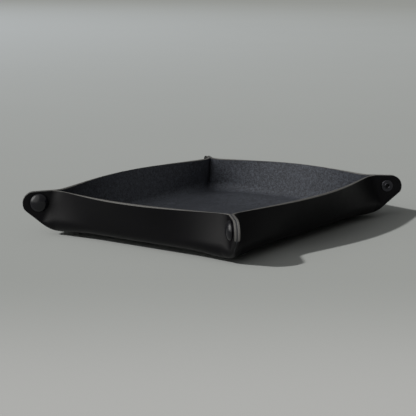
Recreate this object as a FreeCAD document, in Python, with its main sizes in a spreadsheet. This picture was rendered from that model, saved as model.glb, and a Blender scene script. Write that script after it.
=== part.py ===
import FreeCAD, Part
import math
import os
import Sketcher
from FreeCAD import Placement, Rotation, Vector

# Driving dimensions in millimetres and degrees.
# The tray is one folded leather sheet: a floor, four walls and a pinched ear at each corner.
SIZES = (
    # outer size across the foot of the walls, rim height, and the leather itself
    ("tray_width", 164.4),
    ("tray_length", 203),
    ("wall_height", 30.9),
    ("leather_thickness", 2),
    # crease between floor and wall: outer radius, and half of the slit that lets it fold
    ("crease_radius", 4.5),
    ("crease_half_slit", 1),
    ("floor_corner_radius", 1.2),
    # the rim stands out past the foot in the middle of a wall, and is pinched in past it at the corners
    ("rim_bulge", 7.2),
    ("pinch_inset", 5.9),
    # ears: two leaves pinched together on the diagonal of each corner
    ("ear_gap", 0.4),
    ("ear_bend_radius", 4.5),
    ("ear_reach", 22.4),
    ("ear_tip_radius", 8.2),
    ("ear_foot_height", 4.5),
    ("ear_seam_gap", 0.3),
    # snap place on the ear: distance in from the tip and down from the rim
    ("snap_inset", 11.4),
    ("snap_drop", 8.4),
    # snap, across its axis
    ("cap_radius", 6.25),
    ("cap_barrel_radius", 1.5),
    ("cap_barrel_bore", 1),
    ("cap_roll_radius", 2.1),
    ("socket_radius", 5.2),
    ("socket_mouth_radius", 4.2),
    ("socket_cavity_radius", 3.9),
    ("socket_lip_radius", 3.1),
    ("spring_ring_radius", 3.3),
    ("spring_wire_radius", 0.35),
    ("spring_ring_angle", 320),
    ("stud_flange_radius", 4.5),
    ("stud_bulge_radius", 2.6),
    ("stud_neck_radius", 2.35),
    ("post_flange_radius", 4.6),
    ("post_barrel_radius", 1.8),
    ("post_bore_radius", 1.35),
    ("post_roll_radius", 2.2),
    # snap, along its axis, outwards from the plane between the leaves
    ("cap_height", 2.9),
    ("cap_side_height", 0.8),
    ("roll_height", 0.2),
    ("socket_seat", 1.35),
    ("socket_base_thickness", 0.35),
    ("socket_reach", 0.3),
    ("socket_lip_thickness", 0.3),
    ("stud_seat", 1),
    ("stud_flange_thickness", 0.45),
    ("stud_top", 0.45),
    ("post_flange_height", 0.7),
    ("snap_clearance", 0.05),
    ("dent_clearance", 0.1),
)

# Shares of the wall's half length where its slices stand. The rim's bow runs out softly towards both ends.
SLICE_SHARES = (-1, -0.75, -0.5, 0, 0.5, 0.75, 1)
BOW_POWER = 2.1
BOW_END_POWER = 1.6
# The crease splits halfway round its quarter turn.
HALF_TURN = 45
DIAGONAL_SHARE = math.sqrt(2)

WALLS = ("front", "right", "back", "left")
# Walls are drawn as the back wall and turned. The front wall comes first, half a turn away.
WALL_TURNS = {wall: 180 + 90 * index for index, wall in enumerate(WALLS)}
# Corner name, its signs along X and Y, its diagonal's direction, and the walls before and after it.
CORNERS = (
    ("front_right", 1, -1, -45, "front", "right"),
    ("back_right", 1, 1, 45, "right", "back"),
    ("back_left", -1, 1, 135, "back", "left"),
    ("front_left", -1, -1, 225, "left", "front"),
)
CAP_WALLS = ("front", "back")

doc = FreeCAD.newDocument("valet_tray")
sheet = doc.addObject("Spreadsheet::Sheet", "Sizes")
for row, (alias, number) in enumerate(SIZES, start=1):
    sheet.set(f"A{row}", alias)
    sheet.set(f"B{row}", str(number))
    sheet.setAlias(f"B{row}", alias)
doc.recompute()


class Size:
    """A size as an expression on the sheet, with its present number for drawing."""

    def __init__(self, text, number):
        self.text = text
        self.number = number

    def join(self, sign, other, number):
        text = other.text if isinstance(other, Size) else repr(other)
        return Size(f"({self.text} {sign} {text})", number)

    def __add__(self, other):
        return self.join("+", other, self.number + float(other))

    def __sub__(self, other):
        return self.join("-", other, self.number - float(other))

    def __mul__(self, other):
        return self.join("*", other, self.number * float(other))

    def __truediv__(self, other):
        return self.join("/", other, self.number / float(other))

    def __neg__(self):
        return self * -1

    def __float__(self):
        return float(self.number)


def size(alias):
    """The sheet's cell of that name."""
    return Size(f"Sizes.{alias}", sheet.get(alias))


def slant(across, up):
    """The length of a slanting line from its run and its rise."""
    return Size(f"sqrt({across.text} ^ 2 + {up.text} ^ 2)", math.hypot(float(across), float(up)))


def lean_angle(across, up):
    """The angle in degrees by which a slanting line leaves the vertical."""
    return Size(f"atan({across.text} / {up.text})", math.degrees(math.atan2(float(across), float(up))))


def turn_between(lean):
    """The angle in degrees from a wall to the corner's diagonal plane, about a pinch line with that lean."""
    upright = math.cos(math.radians(float(lean)))
    number = math.degrees(math.acos(upright / math.sqrt(1 + upright ** 2)))
    return Size(f"acos(cos({lean.text}) / sqrt(1 + cos({lean.text}) ^ 2))", number)


def tangent(angle):
    """The tangent of an angle in degrees."""
    return Size(f"tan({angle.text})", math.tan(math.radians(float(angle))))


THICKNESS = size("leather_thickness")
HEIGHT = size("wall_height")
CREASE = size("crease_radius")
LEAF_INNER = size("ear_gap") / 2
LEAF_OUTER = LEAF_INNER + THICKNESS
BEND_CENTRE = LEAF_OUTER + size("ear_bend_radius")
# The pinch line leans in over the base. Its run is the same along both walls.
INSET = size("pinch_inset")
PINCH_RUN = INSET * DIAGONAL_SHARE
PINCH_LEAN = lean_angle(PINCH_RUN, HEIGHT)
PINCH_SLANT_SHARE = slant(PINCH_RUN, HEIGHT) / HEIGHT
EAR_TURN = turn_between(PINCH_LEAN)
# Distance from the inner faces' shared edge to where the bend runs out, on the leaf and on the wall.
BEND_LENGTH = (size("ear_bend_radius") + THICKNESS) * tangent(EAR_TURN / 2)
LEAF_START = (BEND_LENGTH - LEAF_INNER) * PINCH_SLANT_SHARE
SETBACK = BEND_LENGTH * PINCH_SLANT_SHARE + size("ear_gap") / DIAGONAL_SHARE + THICKNESS
PINCH_TOP = LEAF_START - PINCH_RUN
SNAP_ALONG = PINCH_TOP + size("ear_reach") - size("snap_inset")
SNAP_UP = HEIGHT - size("snap_drop")
HALF_WIDTH = size("tray_width") / 2
HALF_LENGTH = size("tray_length") / 2


def wall_depth(wall):
    """Distance from the tray's centre to a wall's outer face."""
    return HALF_LENGTH if wall in CAP_WALLS else HALF_WIDTH


def wall_half_span(wall):
    """Half of a wall's length, up to the bend of its ears."""
    across = HALF_WIDTH if wall in CAP_WALLS else HALF_LENGTH
    return across - SETBACK - size("ear_seam_gap")


def new_body(label):
    """An empty body whose label names its file."""
    body = doc.addObject("PartDesign::Body", label)
    body.Label = label
    return body


def new_sketch(body, role, name, offset=None, tilt=None):
    """A sketch on one of the body's own origin planes, moved along the normal and tilted about its X axis."""
    sketch = body.newObject("Sketcher::SketchObject", name)
    planes = [plane for plane in body.Origin.OriginFeatures if plane.Role == role]
    sketch.AttachmentSupport = [(planes[0], "")]
    sketch.MapMode = "FlatFace"
    if offset is not None:
        turn = Rotation() if tilt is None else Rotation(Vector(1, 0, 0), float(tilt))
        sketch.AttachmentOffset = Placement(Vector(0, 0, float(offset)), turn)
        sketch.setExpression("AttachmentOffset.Base.z", offset.text)
    if tilt is not None:
        sketch.setExpression("AttachmentOffset.Rotation.Angle", tilt.text)
    return sketch


def bind(feature, path, value):
    """Ties a feature's property to the sheet."""
    feature.setExpression(path, value.text)


def measure(sketch, name, kind, *places_and_value):
    """A named dimension tied to the sheet. An angle is drawn in radians and written in degrees."""
    *places, value = places_and_value
    drawn = math.radians(float(value)) if kind == "Angle" else float(value)
    index = sketch.addConstraint(Sketcher.Constraint(kind, *places, drawn))
    sketch.renameConstraint(index, name)
    sketch.setExpression(f"Constraints.{name}", value.text)


def rule(sketch, kind, *places):
    """A constraint without a dimension."""
    sketch.addConstraint(Sketcher.Constraint(kind, *places))


def place_point(sketch, name, edge, end, across, up):
    """Fixes one point of an edge by its distances from the sketch's origin."""
    measure(sketch, f"{name}_across", "DistanceX", -1, 1, edge, end, across)
    measure(sketch, f"{name}_up", "DistanceY", -1, 1, edge, end, up)


def polar(centre, radius, degrees):
    """The point at an angle on a circle."""
    turn = math.radians(degrees)
    return centre + Vector(math.cos(turn), math.sin(turn), 0) * float(radius)


def arc(centre, radius, start, end):
    """A circle's arc between two angles in degrees."""
    circle = Part.Circle(centre, Vector(0, 0, 1), float(radius))
    return Part.ArcOfCircle(circle, math.radians(start), math.radians(end))


def profile(sketch, corners, dome=None):
    """A closed outline through corners given as (across, up). One edge may be an arc about the up axis."""
    spots = [Vector(float(across), float(up), 0) for across, up in corners]
    for index, spot in enumerate(spots):
        after = spots[(index + 1) % len(spots)]
        if index == dome:
            rise = after.y - spot.y
            middle = (after.x ** 2 - spot.x ** 2 + rise * (after.y + spot.y)) / (2 * rise)
            centre = Vector(0, middle, 0)
            start = math.degrees(math.atan2(spot.y - middle, spot.x))
            end = math.degrees(math.atan2(after.y - middle, after.x))
            sketch.addGeometry(arc(centre, (spot - centre).Length, start, end))
        else:
            sketch.addGeometry(Part.LineSegment(spot, after))
    for index, (across, up) in enumerate(corners):
        rule(sketch, "Coincident", index, 2, (index + 1) % len(corners), 1)
        place_point(sketch, f"corner{index}", index, 1, across, up)
    if dome is not None:
        rule(sketch, "PointOnObject", dome, 3, -2)


def turned(body, name, corners, dome=None):
    """A full revolution of a profile about the body's Y axis."""
    sketch = new_sketch(body, "XY_Plane", f"{name}_profile")
    profile(sketch, corners, dome)
    revolution = body.newObject("PartDesign::Revolution", f"{name}_turned")
    revolution.Profile = sketch
    revolution.ReferenceAxis = (sketch, ["V_Axis"])
    return revolution


# Leather: floor, walls and ears

def crease_lip(sketch, first, side, depth):
    """The first half of one crease's bend, from the flat floor up to the slit."""
    name = "right" if side > 0 else "left"
    centre = Vector(side * (float(depth) - float(CREASE)), float(CREASE), 0)
    inner = float(CREASE - THICKNESS)
    split = size("crease_half_slit") + HALF_TURN
    ends = (-90, -float(split)) if side > 0 else (float(split) - 180, -90)
    foot, slit = (1, 2) if side > 0 else (2, 1)
    slit_angle = ends[1] if side > 0 else ends[0]
    outer_arc, inner_arc, foot_line, slit_line = range(first, first + 4)
    sketch.addGeometry(arc(centre, CREASE, *ends))
    sketch.addGeometry(arc(centre, inner, *ends))
    sketch.addGeometry(Part.LineSegment(polar(centre, CREASE, -90), polar(centre, inner, -90)))
    sketch.addGeometry(Part.LineSegment(polar(centre, inner, slit_angle), polar(centre, CREASE, slit_angle)))
    rule(sketch, "Coincident", outer_arc, foot, foot_line, 1)
    rule(sketch, "Coincident", inner_arc, foot, foot_line, 2)
    rule(sketch, "Coincident", inner_arc, slit, slit_line, 1)
    rule(sketch, "Coincident", outer_arc, slit, slit_line, 2)
    rule(sketch, "Coincident", outer_arc, 3, inner_arc, 3)
    rule(sketch, "PointOnObject", outer_arc, 3, slit_line)
    rule(sketch, "PointOnObject", outer_arc, 3, foot_line)
    rule(sketch, "Vertical", foot_line)
    place_point(sketch, f"{name}_centre", outer_arc, 3, (depth - CREASE) * side, CREASE)
    measure(sketch, f"{name}_radius", "Radius", outer_arc, CREASE)
    measure(sketch, f"{name}_thickness", "Distance", foot_line, THICKNESS)
    angle = -split if side > 0 else split - 180
    measure(sketch, f"{name}_slit", "Angle", slit_line, angle)


def floor_panel():
    """The flat floor with the first half of the bend along each side and a small nose at each corner."""
    body = new_body("floor_panel")
    flat_across = HALF_WIDTH - CREASE
    flat_along = HALF_LENGTH - CREASE
    plate = new_sketch(body, "XY_Plane", "floor_outline")
    profile(plate, [
        (flat_across, flat_along), (-flat_across, flat_along),
        (-flat_across, -flat_along), (flat_across, -flat_along)])
    pad = body.newObject("PartDesign::Pad", "floor_plate")
    pad.Profile = plate
    bind(pad, "Length", THICKNESS)
    nose = size("floor_corner_radius")
    noses = new_sketch(body, "XY_Plane", "corner_noses")
    for index, (corner, sign_x, sign_y, *_) in enumerate(CORNERS):
        across = (flat_across + nose / 2) * sign_x
        along = (flat_along + nose / 2) * sign_y
        spot = Vector(float(across), float(along), 0)
        noses.addGeometry(Part.Circle(spot, Vector(0, 0, 1), float(nose)))
        place_point(noses, corner, index, 3, across, along)
        measure(noses, f"{corner}_radius", "Radius", index, nose)
    pad = body.newObject("PartDesign::Pad", "corner_nose_pads")
    pad.Profile = noses
    bind(pad, "Length", THICKNESS)
    for role, depth, wall in (("XZ_Plane", HALF_WIDTH, "right"), ("YZ_Plane", HALF_LENGTH, "back")):
        lips = new_sketch(body, role, f"{wall}_lips")
        crease_lip(lips, 0, 1, depth)
        crease_lip(lips, 4, -1, depth)
        pad = body.newObject("PartDesign::Pad", f"{wall}_lip_pads")
        pad.Profile = lips
        pad.Midplane = True
        bind(pad, "Length", wall_half_span(wall) * 2)
    return body


def wall_slice(body, name, station, depth, bulge, height, tilt=None):
    """A slice across a wall: the second half of the crease's bend, then straight up to the rim."""
    sketch = new_sketch(body, "YZ_Plane", name, station, tilt)
    centre = Vector(float(depth - CREASE), float(CREASE), 0)
    rim = Vector(float(depth + bulge), float(height), 0)
    reach = rim - centre
    lean = math.degrees(math.atan2(reach.y, reach.x) - math.acos(float(CREASE) / reach.Length))
    split = size("crease_half_slit") - HALF_TURN
    inner = CREASE - THICKNESS
    foot = polar(centre, CREASE, lean)
    inward = polar(Vector(), THICKNESS, lean)
    outer_bend, outer_face, rim_edge, inner_face, inner_bend, slit_line = range(6)
    sketch.addGeometry(arc(centre, CREASE, float(split), lean))
    sketch.addGeometry(Part.LineSegment(foot, rim))
    sketch.addGeometry(Part.LineSegment(rim, rim - inward))
    sketch.addGeometry(Part.LineSegment(rim - inward, foot - inward))
    sketch.addGeometry(arc(centre, inner, float(split), lean))
    sketch.addGeometry(Part.LineSegment(polar(centre, inner, float(split)), polar(centre, CREASE, float(split))))
    rule(sketch, "Tangent", outer_bend, 2, outer_face, 1)
    rule(sketch, "Coincident", outer_face, 2, rim_edge, 1)
    rule(sketch, "Coincident", rim_edge, 2, inner_face, 1)
    rule(sketch, "Tangent", inner_face, 2, inner_bend, 2)
    rule(sketch, "Coincident", inner_bend, 1, slit_line, 1)
    rule(sketch, "Coincident", slit_line, 2, outer_bend, 1)
    rule(sketch, "Coincident", outer_bend, 3, inner_bend, 3)
    rule(sketch, "PointOnObject", outer_bend, 3, slit_line)
    rule(sketch, "Perpendicular", outer_face, rim_edge)
    rule(sketch, "Parallel", outer_face, inner_face)
    place_point(sketch, "centre", outer_bend, 3, depth - CREASE, CREASE)
    place_point(sketch, "rim", outer_face, 2, depth + bulge, height)
    measure(sketch, "radius", "Radius", outer_bend, CREASE)
    measure(sketch, "thickness", "Distance", rim_edge, THICKNESS)
    measure(sketch, "slit", "Angle", slit_line, split)
    return sketch


def wall_panel(wall):
    """A wall lofted through its slices: pinched in at its slanting ends and leaning out in the middle."""
    body = new_body(f"{wall}_wall")
    slices = []
    for index, along_share in enumerate(SLICE_SHARES):
        station = wall_half_span(wall) * along_share
        bulge_share = (1 - abs(along_share) ** BOW_POWER) ** BOW_END_POWER
        bulge = (size("rim_bulge") + INSET) * bulge_share - INSET
        at_end = abs(along_share) == 1
        height = slant(INSET, HEIGHT) if at_end else HEIGHT
        tilt = lean_angle(INSET, HEIGHT) * -along_share if at_end else None
        name = f"{wall}_slice{index}"
        slices.append(wall_slice(body, name, station, wall_depth(wall), bulge, height, tilt))
    loft = body.newObject("PartDesign::AdditiveLoft", f"{wall}_loft")
    loft.Profile = slices[0]
    loft.Sections = slices[1:]
    body.Placement = Placement(Vector(), Rotation(Vector(0, 0, 1), WALL_TURNS[wall]))
    return body


def pinch_at(height):
    """Where the leaf begins along the diagonal at some height, on the leaning pinch line."""
    return LEAF_START - PINCH_RUN * (height / HEIGHT)


def ear_outline(sketch):
    """The leaf seen square on: leaning pinch line, straight rim, round tip and a sloping lower edge."""
    tip = size("ear_tip_radius")
    foot_up = size("ear_foot_height")
    tip_along = PINCH_TOP + size("ear_reach") - tip
    tip_centre = Vector(float(tip_along), float(HEIGHT - tip), 0)
    foot = Vector(float(pinch_at(foot_up)), float(foot_up), 0)
    top = Vector(float(PINCH_TOP), float(HEIGHT), 0)
    reach = tip_centre - foot
    slope = math.degrees(math.atan2(reach.y, reach.x) - math.asin(float(tip) / reach.Length))
    pinch_line, rim_line, tip_arc, lower_edge = range(4)
    sketch.addGeometry(Part.LineSegment(foot, top))
    sketch.addGeometry(Part.LineSegment(top, polar(tip_centre, tip, 90)))
    sketch.addGeometry(arc(tip_centre, tip, slope - 90, 90))
    sketch.addGeometry(Part.LineSegment(polar(tip_centre, tip, slope - 90), foot))
    rule(sketch, "Coincident", pinch_line, 2, rim_line, 1)
    rule(sketch, "Tangent", rim_line, 2, tip_arc, 2)
    rule(sketch, "Tangent", tip_arc, 1, lower_edge, 1)
    rule(sketch, "Coincident", lower_edge, 2, pinch_line, 1)
    place_point(sketch, "foot", pinch_line, 1, pinch_at(foot_up), foot_up)
    place_point(sketch, "top", pinch_line, 2, PINCH_TOP, HEIGHT)
    place_point(sketch, "tip", tip_arc, 3, tip_along, HEIGHT - tip)
    measure(sketch, "tip_radius", "Radius", tip_arc, tip)


def ear_bend(body, label, side):
    """The bend that leads the wall's leather round the pinch line into the leaf, level with the rim."""
    sketch = new_sketch(body, "YZ_Plane", f"{label}_bend_section", LEAF_START, -PINCH_LEAN)
    near = LEAF_INNER * side
    far = LEAF_OUTER * side
    foot = size("ear_foot_height") * PINCH_SLANT_SHARE
    spare = (HEIGHT + BEND_CENTRE) * PINCH_SLANT_SHARE
    profile(sketch, [(near, foot), (far, foot), (far, spare), (near, spare)])
    axis_at = Vector(float(BEND_CENTRE) * side, float(foot), 0)
    axis = sketch.addGeometry(Part.LineSegment(axis_at, axis_at + Vector(0, float(HEIGHT), 0)), True)
    rule(sketch, "Vertical", axis)
    place_point(sketch, "axis", axis, 1, BEND_CENTRE * side, foot)
    measure(sketch, "axis_length", "Distance", axis, HEIGHT)
    bend = body.newObject("PartDesign::Revolution", f"{label}_bend")
    bend.Profile = sketch
    bend.ReferenceAxis = (sketch, ["Axis0"])
    bend.Reversed = side > 0
    bind(bend, "Angle", EAR_TURN)
    level = new_sketch(body, "XY_Plane", f"{label}_rim_level", HEIGHT)
    room = size("ear_reach")
    profile(level, [(room, room), (-room, room), (-room, -room), (room, -room)])
    trim = body.newObject("PartDesign::Pocket", f"{label}_rim_trim")
    trim.Profile = level
    trim.Reversed = True
    bind(trim, "Length", HEIGHT)


def snap_hole(body, label, name, radius, reach):
    """A round hole about the snap's axis, cut as far as reach on both sides of the corner's plane."""
    sketch = new_sketch(body, "XZ_Plane", f"{label}_{name}_circle")
    spot = Vector(float(SNAP_ALONG), float(SNAP_UP), 0)
    sketch.addGeometry(Part.Circle(spot, Vector(0, 0, 1), float(radius)))
    place_point(sketch, "spot", 0, 3, SNAP_ALONG, SNAP_UP)
    measure(sketch, "hole_radius", "Radius", 0, radius)
    pocket = body.newObject("PartDesign::Pocket", f"{label}_{name}")
    pocket.Profile = sketch
    pocket.Midplane = True
    bind(pocket, "Length", reach * 2)


def corner_place(body, sign_x, sign_y, direction):
    """Sets a body on a corner: its X axis runs out along the diagonal between the two leaves."""
    body.Placement = Placement(Vector(), Rotation(Vector(0, 0, 1), direction))
    bind(body, "Placement.Base.x", (HALF_WIDTH - THICKNESS) * sign_x)
    bind(body, "Placement.Base.y", (HALF_LENGTH - THICKNESS) * sign_y)


def ear_leaf(wall, corner, side):
    """One leaf of a corner's ear, pierced for its half of the snap and pressed in where the metal sits."""
    corner_name, sign_x, sign_y, direction, *_ = corner
    label = f"{wall}_wall_{corner_name}_ear"
    body = new_body(label)
    outline = new_sketch(body, "XZ_Plane", f"{label}_outline", LEAF_INNER * -side)
    ear_outline(outline)
    pad = body.newObject("PartDesign::Pad", f"{label}_leaf")
    pad.Profile = outline
    pad.Reversed = side > 0
    bind(pad, "Length", THICKNESS)
    ear_bend(body, label, side)
    has_cap = wall in CAP_WALLS
    barrel = size("cap_barrel_radius") if has_cap else size("post_barrel_radius")
    metal = size("socket_radius") if has_cap else size("stud_flange_radius")
    seat = size("socket_seat") if has_cap else size("stud_seat")
    snap_hole(body, label, "hole", barrel + size("snap_clearance"), LEAF_OUTER + THICKNESS)
    snap_hole(body, label, "dent", metal + size("dent_clearance"), seat)
    corner_place(body, sign_x, sign_y, direction)
    return body


# Snaps: every profile is (radius, distance along the axis), with the cap on the positive side

def snap_cap(body):
    """Domed cap with a hollow barrel, rolled over behind the socket's base."""
    face = LEAF_OUTER
    behind = size("socket_seat") - size("socket_base_thickness")
    axis = face * 0
    turned(body, "cap", [
        (size("cap_radius"), face + size("cap_side_height")),
        (axis, face + size("cap_height")),
        (axis, face),
        (size("cap_barrel_bore"), face),
        (size("cap_barrel_bore"), behind - size("roll_height")),
        (size("cap_roll_radius"), behind - size("roll_height")),
        (size("cap_roll_radius"), behind),
        (size("cap_barrel_radius"), behind),
        (size("cap_barrel_radius"), face),
        (size("cap_radius"), face),
    ], dome=0)


def snap_socket(body):
    """Cup that takes the stud, with a lip that keeps the spring ring in."""
    base = size("socket_seat") - size("socket_base_thickness")
    mouth = -size("socket_reach")
    bore = size("cap_barrel_radius") + size("snap_clearance")
    turned(body, "socket", [
        (bore, size("socket_seat")),
        (bore, base),
        (size("socket_cavity_radius"), base),
        (size("socket_cavity_radius"), mouth + size("socket_lip_thickness")),
        (size("socket_lip_radius"), mouth + size("socket_lip_thickness")),
        (size("socket_lip_radius"), mouth),
        (size("socket_mouth_radius"), mouth),
        (size("socket_radius"), size("socket_reach")),
        (size("socket_radius"), size("socket_seat")),
    ])


def snap_spring(body):
    """Split ring of round wire that lies on the socket's lip and grips the stud."""
    lip = size("socket_lip_thickness") - size("socket_reach")
    wire = size("spring_wire_radius")
    middle = lip + wire + size("snap_clearance")
    sketch = new_sketch(body, "XY_Plane", "spring_section")
    spot = Vector(float(size("spring_ring_radius")), float(middle), 0)
    sketch.addGeometry(Part.Circle(spot, Vector(0, 0, 1), float(wire)))
    place_point(sketch, "wire", 0, 3, size("spring_ring_radius"), middle)
    measure(sketch, "wire_radius", "Radius", 0, wire)
    ring = body.newObject("PartDesign::Revolution", "spring_ring")
    ring.Profile = sketch
    ring.ReferenceAxis = (sketch, ["V_Axis"])
    bind(ring, "Angle", size("spring_ring_angle"))


def snap_stud(body):
    """Flanged stud with a bulged neck."""
    back = -size("stud_seat")
    front = back + size("stud_flange_thickness")
    top = size("stud_top")
    bore = size("post_barrel_radius") + size("snap_clearance")
    neck_top = (front + top) / 2
    crown = top - size("roll_height")
    turned(body, "stud", [
        (bore, back),
        (size("stud_flange_radius"), back),
        (size("stud_flange_radius"), front),
        (size("stud_neck_radius"), front),
        (size("stud_neck_radius"), neck_top),
        (size("stud_bulge_radius"), neck_top + size("roll_height")),
        (size("stud_bulge_radius"), crown),
        (size("stud_neck_radius"), top),
        (bore, top),
    ])


def snap_post(body):
    """Hollow rivet: a rounded flange outside, a barrel through leather and stud, a rolled end on the stud."""
    face = -LEAF_OUTER
    outside = face - size("post_flange_height")
    edge = face - size("post_flange_height") / 2
    top = size("stud_top")
    bore = size("post_bore_radius")
    lip = (bore + size("post_roll_radius")) / 2
    turned(body, "post", [
        (bore, edge),
        (lip, outside),
        (size("post_flange_radius") - size("post_flange_height"), outside),
        (size("post_flange_radius"), edge),
        (size("post_flange_radius"), face),
        (size("post_barrel_radius"), face),
        (size("post_barrel_radius"), top),
        (size("post_roll_radius"), top),
        (size("post_roll_radius"), top + size("roll_height")),
        (bore, top + size("roll_height")),
    ])


SNAP_PIECES = (
    ("snap_cap", snap_cap),
    ("snap_socket", snap_socket),
    ("snap_spring", snap_spring),
    ("snap_stud", snap_stud),
    ("snap_post", snap_post),
)


def corner_snaps(corner):
    """The five pieces of one corner's snap, on the axis that runs square through both leaves."""
    corner_name, sign_x, sign_y, direction, before, _ = corner
    turn = direction + 180 if before in CAP_WALLS else direction
    out = Vector(math.cos(math.radians(direction)), math.sin(math.radians(direction)), 0)
    bodies = []
    for piece, make in SNAP_PIECES:
        body = new_body(f"{corner_name}_{piece}")
        make(body)
        body.Placement = Placement(Vector(), Rotation(Vector(0, 0, 1), turn))
        bind(body, "Placement.Base.x", (HALF_WIDTH - THICKNESS) * sign_x + SNAP_ALONG * out.x)
        bind(body, "Placement.Base.y", (HALF_LENGTH - THICKNESS) * sign_y + SNAP_ALONG * out.y)
        bind(body, "Placement.Base.z", SNAP_UP)
        bodies.append(body)
    return bodies


pieces = [floor_panel()]
for wall in WALLS:
    pieces.append(wall_panel(wall))
for corner in CORNERS:
    pieces.append(ear_leaf(corner[4], corner, -1))
    pieces.append(ear_leaf(corner[5], corner, 1))
    pieces.extend(corner_snaps(corner))
doc.recompute()

for item in doc.Objects:
    if {"Invalid", "Error"} & set(item.State):
        raise RuntimeError(f"{item.Label} failed: {item.State}")
for piece in pieces:
    if piece.Shape.isNull() or not piece.Shape.isValid() or len(piece.Shape.Solids) != 1:
        raise RuntimeError(f"{piece.Label} is not one valid solid")

os.makedirs("parts", exist_ok=True)
for piece in pieces:
    piece.Shape.exportStep(f"parts/{piece.Label}.step")
    print(f"{piece.Label}: {piece.Shape.Volume:.1f} cubic mm")
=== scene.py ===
"""Valet tray: one folded leather sheet with a press snap at each pinched corner."""
import math
from collections import namedtuple

import bmesh
import bpy
import numpy as np
from mathutils import Matrix


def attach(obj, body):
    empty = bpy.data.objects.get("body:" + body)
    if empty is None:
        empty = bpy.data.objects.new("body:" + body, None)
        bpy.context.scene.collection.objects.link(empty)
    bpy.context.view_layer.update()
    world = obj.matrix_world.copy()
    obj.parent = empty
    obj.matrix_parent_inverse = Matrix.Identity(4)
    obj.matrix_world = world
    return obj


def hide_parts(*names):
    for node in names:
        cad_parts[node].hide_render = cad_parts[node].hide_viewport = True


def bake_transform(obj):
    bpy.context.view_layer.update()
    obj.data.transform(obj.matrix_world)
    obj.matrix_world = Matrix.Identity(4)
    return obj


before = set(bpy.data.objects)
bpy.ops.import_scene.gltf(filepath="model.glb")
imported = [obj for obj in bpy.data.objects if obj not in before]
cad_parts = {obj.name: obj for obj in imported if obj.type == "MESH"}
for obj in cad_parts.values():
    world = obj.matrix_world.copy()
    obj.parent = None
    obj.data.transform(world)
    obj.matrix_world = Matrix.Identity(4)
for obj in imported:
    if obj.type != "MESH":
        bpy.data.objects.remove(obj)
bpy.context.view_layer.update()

# Sheet, in millimetres. Foot, rim and thickness are the solids' own, and the crease is softer than theirs.
MM = 0.001
HALF_WIDTH = 82.2
HALF_LENGTH = 101.5
RIM_HEIGHT = 30.9
THICKNESS = 2.0
CREASE_RADIUS = 8.5
# Width of the rounding on a cut edge, and the step along a wall over which its direction is measured.
CUT_ROUND = 0.28
HEADING_STEP = 0.05
# The rim stands out past the foot in mid wall and is pinched in past it towards the corners.
RIM_BULGE = 7.2
PINCH_INSET = 5.9
BOW_POWER = 2.1
BOW_END_POWER = 1.6
# The floor stands on its flat belly. Its edges curl up and hover, most in the middle of each wall.
BELLY_SAG = 1.6
EDGE_LIFT = 3.0
CURL_WIDTH = 32.0
CORNER_FALL_SHARE = 0.70

# A wall turns into its ear along a soft bend: its length with a cap, its length with a post, and the length
# at which the rim's ends lie in by the pinch's inset alone.
CAP_BEND = 8.6
POST_BEND = 8.2
TIGHT_BEND = 7.8
LEAF_BEND_SHARE = 0.50
WALL_PULL_SHARE = 0.46
LEAF_PULL_SHARE = 0.24
# At the floor's corner the bend sets out along the diagonal and climbs a little. It levels out at the rim.
FOOT_CLIMB_SHARE = 0.2
CLIMB_POWER = 1.5
# Ear outline, measured from the inner corner out along the diagonal.
EAR_TIP = 16.9
EAR_TIP_RADIUS = 8.4
EAR_DROOP = 0.6
EAR_SLOPE = math.radians(40)
RIM_SLOPE = math.radians(2.7)
EAR_GAP = 0.10
# The ear's lower edge is a fold. Between these heights it gives way to the cut edge.
FOLD_RADIUS = 2.0
FOLD_ENDS = (15.5, 18.5)

# Snap: its place on the ear, in the corner's frame.
SNAP_ALONG = 5.307
SNAP_UP = 22.5
# How a fitting sits on its leaf: the depth of its dent from the corner's plane, and the radii of its hole, of
# that dent in the inner face, and of the hollow that it presses into the outer face.
Seat = namedtuple("Seat", "depth hole dent press")
CAP_SEAT = Seat(depth=1.35, hole=1.55, dent=5.3, press=8.6)
POST_SEAT = Seat(depth=1.0, hole=1.85, dent=4.6, press=7.4)
DENT_FADE = 0.4
PRESS_DEPTH = 0.3
PRESS_FLAT_SHARE = 0.55
# Barrels reach this far up into their heads.
BARREL_TUCK = 0.05
# Cap: a dome with a rolled edge, and a barrel that flares in the socket. "Out" is from the corner's plane.
CAP_RADIUS = 6.6
CAP_HEIGHT = 3.9
CAP_SINK = 0.1
CAP_ROLL_RADIUS = 0.55
CAP_ROLL_END = -110
CAP_BARREL_RADIUS = 1.5
CAP_FLARE_RADIUS = 2.1
CAP_FLARE_OUT = 0.9
CAP_FOOT_OUT = 0.72
# Post: a flange with a rounded edge, a lip round its bore, and a barrel that is rolled over on the stud.
POST_RADIUS = 4.6
POST_HEIGHT = 0.8
POST_BORE = 1.35
POST_SINK = 0.25
POST_EDGE_ROUND = 0.5
POST_EDGE_RISE = 0.35
LIP_ROUND = 0.5
LIP_HEIGHT = 0.55
LIP_SINK = 0.1
LIP_START = 20
BORE_OUT = 0.2
BORE_FOOT_OUT = -0.65
POST_BARREL_RADIUS = 1.8
POST_FLARE_RADIUS = 2.2
POST_FLARE_OUT = -0.42
POST_STUD_OUT = -0.40
POST_ROLL_OUT = -0.5
POST_ROLL_RADII = (0.45, 0.25)
POST_ROLL_START = -160

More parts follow.
